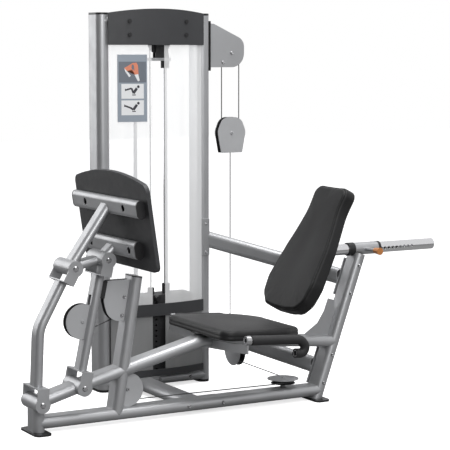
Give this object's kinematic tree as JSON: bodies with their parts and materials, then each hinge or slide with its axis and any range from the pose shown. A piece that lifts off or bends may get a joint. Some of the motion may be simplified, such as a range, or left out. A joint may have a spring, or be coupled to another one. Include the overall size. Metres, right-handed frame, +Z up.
{
  "type": "leg press machine",
  "caption": "Seated leg press gym machine with a linked foot plate, padded seat and sliding back rest, and a cable-driven weight stack in a shrouded tower.",
  "frame": {"origin": "on the floor below the middle of the whole machine's outline", "axes": "+X from the foot plate towards the back rest, +Y towards the weight tower, +Z up"},
  "size_m": [2.084, 1.0744, 1.794],
  "materials": {
    "frame_paint": "satin",
    "dark_board": "satin",
    "vinyl": "satin",
    "chrome": "polished",
    "zinc": "satin",
    "stack_black": "matte",
    "pulley_black": "matte",
    "guard_grey": "satin",
    "shroud_white": "frosted",
    "placard_face": "matte",
    "rubber_black": "matte",
    "cap_black": "satin",
    "knob_copper": "gloss",
    "cable_black": "satin"
  },
  "bodies": {
    "frame": {"front_post": "frame_paint", "base_rail": "frame_paint", "pivot_housings": "frame_paint", "pivot_strut": "frame_paint", "seat_rail": "frame_paint", "front_upright": "frame_paint", "rear_post": "frame_paint", "post_gusset": "frame_paint", "seat_sleeve": "frame_paint", "tower_columns": "frame_paint", "tower_beams": "frame_paint", "tower_braces": "frame_paint", "seat_bracket": "frame_paint", "top_pulley_brackets": "frame_paint", "pulley_guards": "guard_grey", "upright_bracket": "guard_grey", "header_panel": "dark_board", "guard_bars": "dark_board", "seat_pad": "vinyl", "guide_rods": "chrome", "frame_bolts": "zinc", "handle_frames": "zinc", "weight_plates": "stack_black", "shroud_panels": "shroud_white", "placard": "placard_face", "rubber_bumpers": "rubber_black", "handle_grips": "rubber_black", "floor_feet": "cap_black", "tube_caps": "cap_black", "sleeve_bushings": "cap_black", "header_screws": "cap_black", "link_cable": "cable_black", "fixed_cable": "cable_black", "block_low_cable": "cable_black", "block_high_cable": "cable_black", "stack_cable": "cable_black"},
    "rear_link": {"rear_link": "frame_paint", "rear_link_pins": "zinc", "link_pulley_guard": "guard_grey"},
    "front_link": {"front_link": "frame_paint", "front_link_pins": "zinc"},
    "foot_carriage": {"foot_carriage": "frame_paint", "cross_tube_caps": "cap_black", "foot_plate": "dark_board"},
    "floating_block": {"floating_block": "guard_grey"},
    "stack_head": {"stack_head": "stack_black", "head_bushings": "rubber_black"},
    "selector": {"selector_pin": "cap_black"},
    "back_rest": {"back_pad": "vinyl", "back_bracket": "frame_paint", "slide_tube": "chrome"},
    "pop_pin": {"pop_pin": "knob_copper"},
    "link_pulley": {"link_pulley": "pulley_black"},
    "upright_upper_pulley": {"upright_upper_pulley": "pulley_black"},
    "upright_lower_pulley": {"upright_lower_pulley": "pulley_black"},
    "rail_pulley": {"rail_pulley": "pulley_black"},
    "corner_pulley": {"corner_pulley": "pulley_black"},
    "block_pulley": {"block_pulley": "pulley_black"},
    "outer_top_pulley": {"outer_top_pulley": "pulley_black"},
    "inner_top_pulley": {"inner_top_pulley": "pulley_black"}
  },
  "joints": [
    {"name": "press_hinge", "type": "hinge", "parent": "frame", "child": "rear_link", "pos_m": [-0.812, -0.17125, 0.181], "axis": [0, -1, 0], "range_deg": [0, 35], "deforming": ["link_cable"]},
    {"name": "front_link_hinge", "type": "hinge", "parent": "frame", "child": "front_link", "pos_m": [-1.004, -0.17125, 0.129], "axis": [0, -1, 0], "range_deg": [0, 33.1]},
    {"name": "carriage_hinge", "type": "hinge", "parent": "rear_link", "child": "foot_carriage", "pos_m": [-0.696, -0.17125, 0.72], "axis": [0, -1, 0], "range_deg": [-43.3, 0]},
    {"name": "block_slide", "type": "slide", "parent": "frame", "child": "floating_block", "axis": [0, 0, -1], "range_m": [0, 0.331], "deforming": ["block_low_cable", "block_high_cable"]},
    {"name": "stack_slide", "type": "slide", "parent": "frame", "child": "stack_head", "axis": [0, 0, 1], "range_m": [0, 0.661], "deforming": ["stack_cable"]},
    {"name": "selector_pull", "type": "slide", "parent": "stack_head", "child": "selector", "axis": [0, -1, 0], "range_m": [0, 0.06]},
    {"name": "back_rest_slide", "type": "slide", "parent": "frame", "child": "back_rest", "axis": [-1, 0, 0], "range_m": [0, 0.264]},
    {"name": "pop_pin_pull", "type": "slide", "parent": "frame", "child": "pop_pin", "axis": [0, -1, 0], "range_m": [0, 0.012], "stiffness_N_per_m": 400, "springref_m": -0.006},
    {"name": "link_pulley_spin", "type": "hinge", "parent": "rear_link", "child": "link_pulley", "pos_m": [-0.792, -0.17125, 0.457], "axis": [0, 1, 0], "continuous": true},
    {"name": "upright_upper_pulley_spin", "type": "hinge", "parent": "frame", "child": "upright_upper_pulley", "pos_m": [-0.595, -0.17125, 0.549], "axis": [0, 1, 0], "continuous": true},
    {"name": "upright_lower_pulley_spin", "type": "hinge", "parent": "frame", "child": "upright_lower_pulley", "pos_m": [-0.581, -0.17125, 0.142], "axis": [0, 1, 0], "continuous": true},
    {"name": "rail_pulley_spin", "type": "hinge", "parent": "frame", "child": "rail_pulley", "pos_m": [0.224, -0.15625, 0.094], "axis": [0, 0, 1], "continuous": true},
    {"name": "corner_pulley_spin", "type": "hinge", "parent": "frame", "child": "corner_pulley", "pos_m": [0.296, 0.41275, 0.142], "axis": [1, 0, 0], "continuous": true},
    {"name": "block_pulley_spin", "type": "hinge", "parent": "floating_block", "child": "block_pulley", "pos_m": [0.296, 0.46075, 1.202], "axis": [0, 1, 0], "continuous": true},
    {"name": "outer_top_pulley_spin", "type": "hinge", "parent": "frame", "child": "outer_top_pulley", "pos_m": [0.296, 0.46075, 1.588], "axis": [0, 1, 0], "continuous": true},
    {"name": "inner_top_pulley_spin", "type": "hinge", "parent": "frame", "child": "inner_top_pulley", "pos_m": [-0.091, 0.46075, 1.64], "axis": [0, 1, 0], "continuous": true}
  ],
  "couplings": [
    {"joint": "front_link_hinge", "follows": "press_hinge", "ratio": 0.945},
    {"joint": "carriage_hinge", "follows": "press_hinge", "ratio": -1.235},
    {"joint": "block_slide", "follows": "press_hinge", "m_per_rad": 0.54},
    {"joint": "stack_slide", "follows": "press_hinge", "m_per_rad": 1.08},
    {"joint": "link_pulley_spin", "follows": "press_hinge", "ratio": -4.625},
    {"joint": "upright_upper_pulley_spin", "follows": "press_hinge", "ratio": -11.25},
    {"joint": "upright_lower_pulley_spin", "follows": "press_hinge", "ratio": 11.25},
    {"joint": "rail_pulley_spin", "follows": "press_hinge", "ratio": -11.25},
    {"joint": "corner_pulley_spin", "follows": "press_hinge", "ratio": -11.25},
    {"joint": "block_pulley_spin", "follows": "press_hinge", "ratio": 11.25},
    {"joint": "outer_top_pulley_spin", "follows": "press_hinge", "ratio": 22.5},
    {"joint": "inner_top_pulley_spin", "follows": "press_hinge", "ratio": 22.5}
  ]
}
